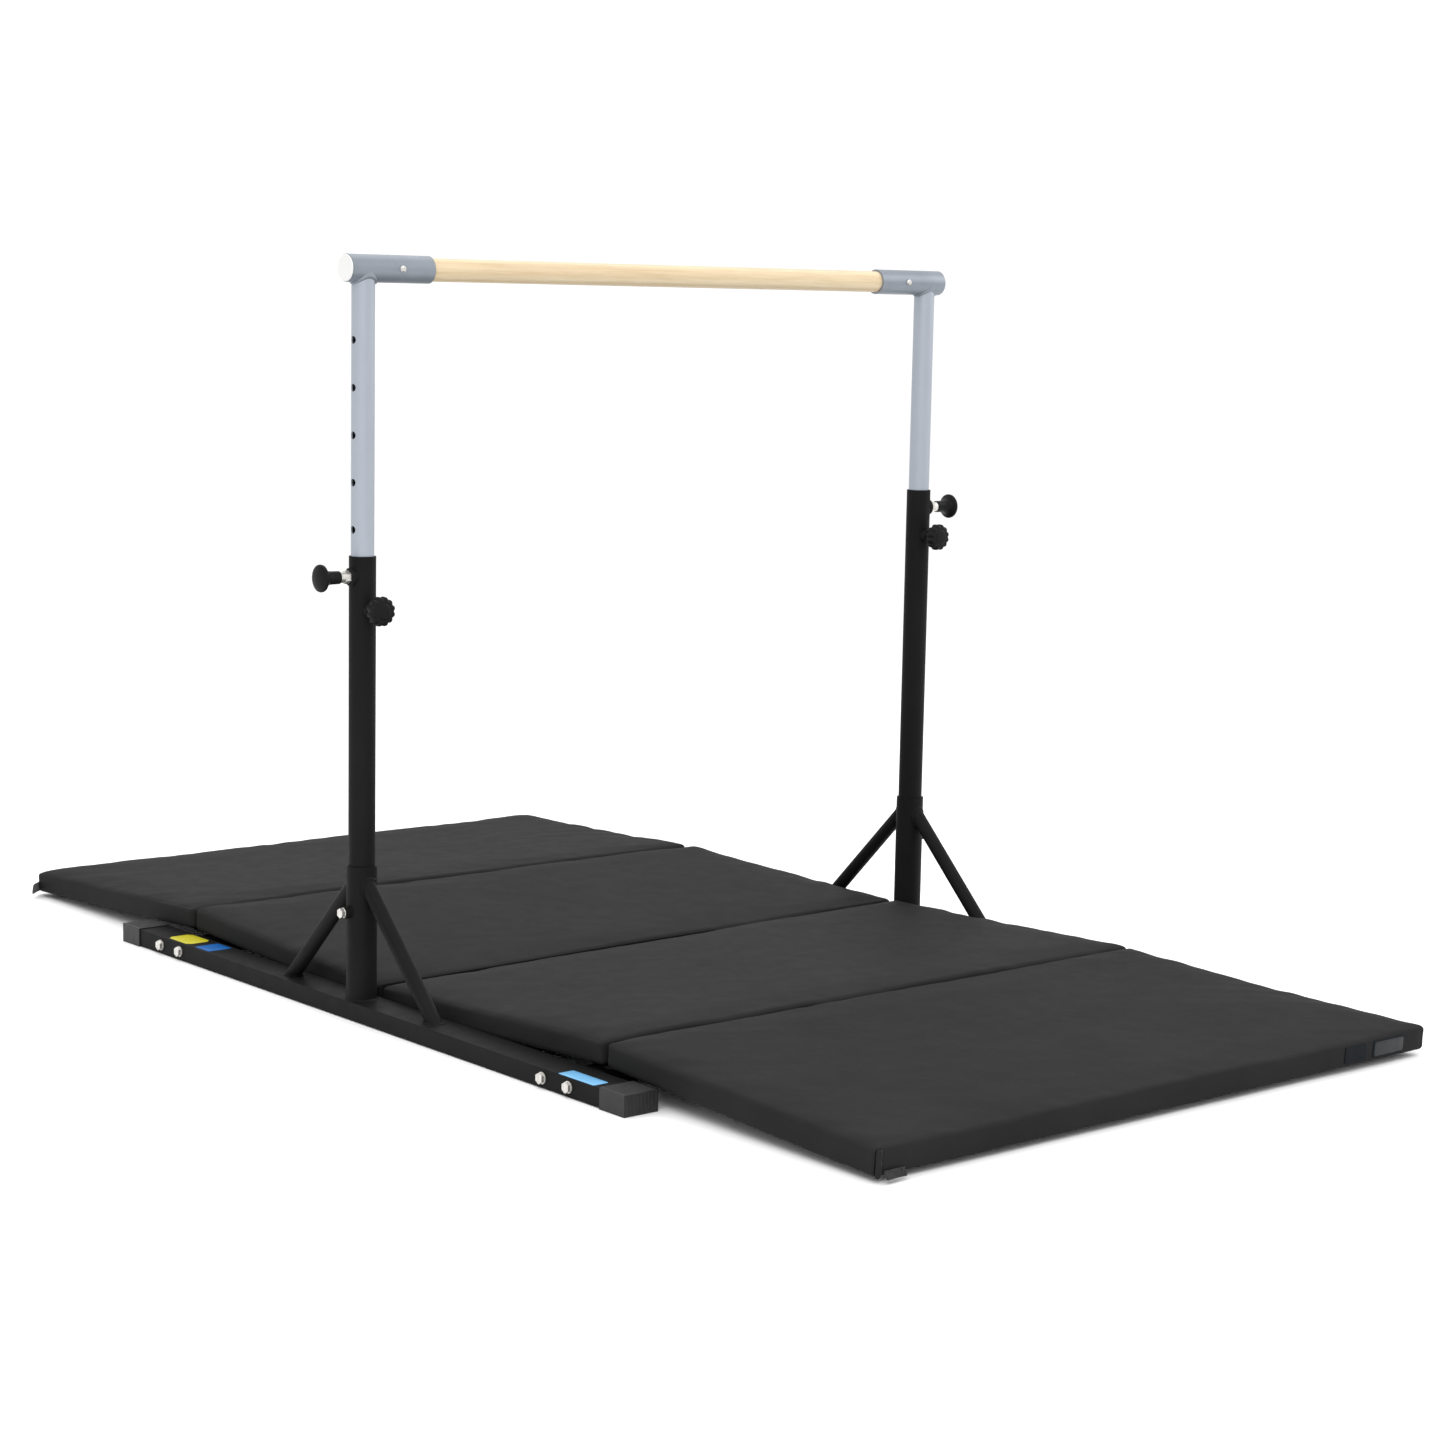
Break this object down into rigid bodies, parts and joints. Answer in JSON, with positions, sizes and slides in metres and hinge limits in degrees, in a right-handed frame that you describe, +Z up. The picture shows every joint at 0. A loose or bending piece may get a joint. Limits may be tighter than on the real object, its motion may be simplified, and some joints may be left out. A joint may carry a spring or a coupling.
{
  "type": "adjustable horizontal gymnastics bar",
  "caption": "Freestanding height-adjustable wooden horizontal bar on two telescoping steel posts with pull pins and clamp knobs, over a folding panel mat.",
  "frame": {"origin": "on the floor, midway between the two posts, at the centre of the part's footprint", "axes": "+Z up, X along the bar, Y along the legs and the mat"},
  "size_m": [1.419, 2.4306, 1.2505],
  "materials": {
    "frame_black": "satin",
    "black_rubber": "matte",
    "zinc": "satin",
    "steel_pin": "satin",
    "label": "satin",
    "black_plastic": "matte",
    "nylon": "satin",
    "post_silver": "satin",
    "tee_grey": "satin",
    "white_plastic": "gloss",
    "beech": "satin",
    "foam": "matte",
    "vinyl": "satin",
    "hook_tape": "matte",
    "patch": "satin"
  },
  "bodies": {
    "base": {"leg_left": "frame_black", "leg_right": "frame_black", "socket_left": "frame_black", "socket_right": "frame_black", "frame_welds": "frame_black", "cross_tube_front": "frame_black", "cross_tube_back": "frame_black", "brace_left_front": "frame_black", "brace_left_back": "frame_black", "brace_right_front": "frame_black", "brace_right_back": "frame_black", "socket_nuts": "frame_black", "outer_tube_left": "frame_black", "outer_tube_right": "frame_black", "pin_bosses": "frame_black", "clamp_bosses": "frame_black", "cap_left_front": "black_rubber", "cap_left_back": "black_rubber", "cap_right_front": "black_rubber", "cap_right_back": "black_rubber", "leg_bolts": "zinc", "cross_nuts": "zinc", "socket_bolts": "zinc", "pin_barrel_left": "zinc", "pin_barrel_right": "zinc", "pin_spring_left": "zinc", "pin_spring_right": "zinc", "leg_labels": "label"},
    "bar_assembly": {"bar_screws": "zinc", "inner_post_left": "post_silver", "inner_post_right": "post_silver", "tee_left": "tee_grey", "tee_right": "tee_grey", "tee_welds": "tee_grey", "tee_plug_left": "white_plastic", "tee_plug_right": "white_plastic", "wooden_bar": "beech"},
    "locking_pin_left": {"pull_pin_left": "steel_pin", "pin_knob_left": "black_plastic"},
    "clamp_tip_left": {"clamp_pad_left": "nylon"},
    "clamp_screw_left": {"clamp_stud_left": "zinc", "clamp_knob_left": "black_plastic"},
    "locking_pin_right": {"pull_pin_right": "steel_pin", "pin_knob_right": "black_plastic"},
    "clamp_tip_right": {"clamp_pad_right": "nylon"},
    "clamp_screw_right": {"clamp_stud_right": "zinc", "clamp_knob_right": "black_plastic"},
    "mat_middle": {"mat_hinge_strip": "vinyl"},
    "panel_front_outer": {"mat_core_front_outer": "foam", "mat_cover_front_outer": "vinyl", "mat_flap_front": "hook_tape", "mat_patch": "patch"},
    "panel_front_inner": {"mat_core_front_inner": "foam", "mat_cover_front_inner": "vinyl"},
    "panel_back_inner": {"mat_core_back_inner": "foam", "mat_cover_back_inner": "vinyl"},
    "panel_back_outer": {"mat_core_back_outer": "foam", "mat_cover_back_outer": "vinyl", "mat_flap_back": "hook_tape"}
  },
  "joints": [
    {"name": "bar_height", "type": "slide", "parent": "base", "child": "bar_assembly", "axis": [0, 0, 1], "range_m": [-0.3048, 0.3048]},
    {"name": "pin_pull_left", "type": "slide", "parent": "base", "child": "locking_pin_left", "axis": [-1, 0, 0], "range_m": [-0.008, 0.002], "deforming": ["pin_spring_left"]},
    {"name": "clamp_travel_left", "type": "slide", "parent": "base", "child": "clamp_tip_left", "axis": [0, -1, 0], "range_m": [0, 0.0031]},
    {"name": "clamp_turn_left", "type": "hinge", "parent": "clamp_tip_left", "child": "clamp_screw_left", "pos_m": [-0.6225, -0.05, 0.6805], "axis": [0, -1, 0], "range_deg": [0, 720]},
    {"name": "pin_pull_right", "type": "slide", "parent": "base", "child": "locking_pin_right", "axis": [1, 0, 0], "range_m": [-0.008, 0.002], "deforming": ["pin_spring_right"]},
    {"name": "clamp_travel_right", "type": "slide", "parent": "base", "child": "clamp_tip_right", "axis": [0, -1, 0], "range_m": [0, 0.0031]},
    {"name": "clamp_turn_right", "type": "hinge", "parent": "clamp_tip_right", "child": "clamp_screw_right", "pos_m": [0.6225, -0.05, 0.7567], "axis": [0, -1, 0], "range_deg": [0, 720]},
    {"name": "mat_lift", "type": "slide", "parent": "base", "child": "mat_middle", "axis": [0, 0, 1], "range_m": [0, 0.15]},
    {"name": "mat_fold_front", "type": "hinge", "parent": "mat_middle", "child": "panel_front_inner", "pos_m": [0, -0.003, 0.056], "axis": [-1, 0, 0], "range_deg": [0, 78]},
    {"name": "mat_end_front", "type": "hinge", "parent": "panel_front_inner", "child": "panel_front_outer", "pos_m": [0, -0.609, 0.036], "axis": [-1, 0, 0], "range_deg": [-153, 0]},
    {"name": "mat_fold_back", "type": "hinge", "parent": "mat_middle", "child": "panel_back_inner", "pos_m": [0, 0.003, 0.056], "axis": [1, 0, 0], "range_deg": [0, 78]},
    {"name": "mat_end_back", "type": "hinge", "parent": "panel_back_inner", "child": "panel_back_outer", "pos_m": [0, 0.609, 0.036], "axis": [1, 0, 0], "range_deg": [-153, 0]}
  ],
  "couplings": [
    {"joint": "clamp_travel_left", "follows": "clamp_turn_left", "m_per_rad": 0.00023873},
    {"joint": "clamp_travel_right", "follows": "clamp_turn_right", "m_per_rad": 0.00023873},
    {"joint": "mat_end_front", "follows": "mat_fold_front", "ratio": -1.95},
    {"joint": "mat_end_back", "follows": "mat_fold_back", "ratio": -1.95}
  ]
}
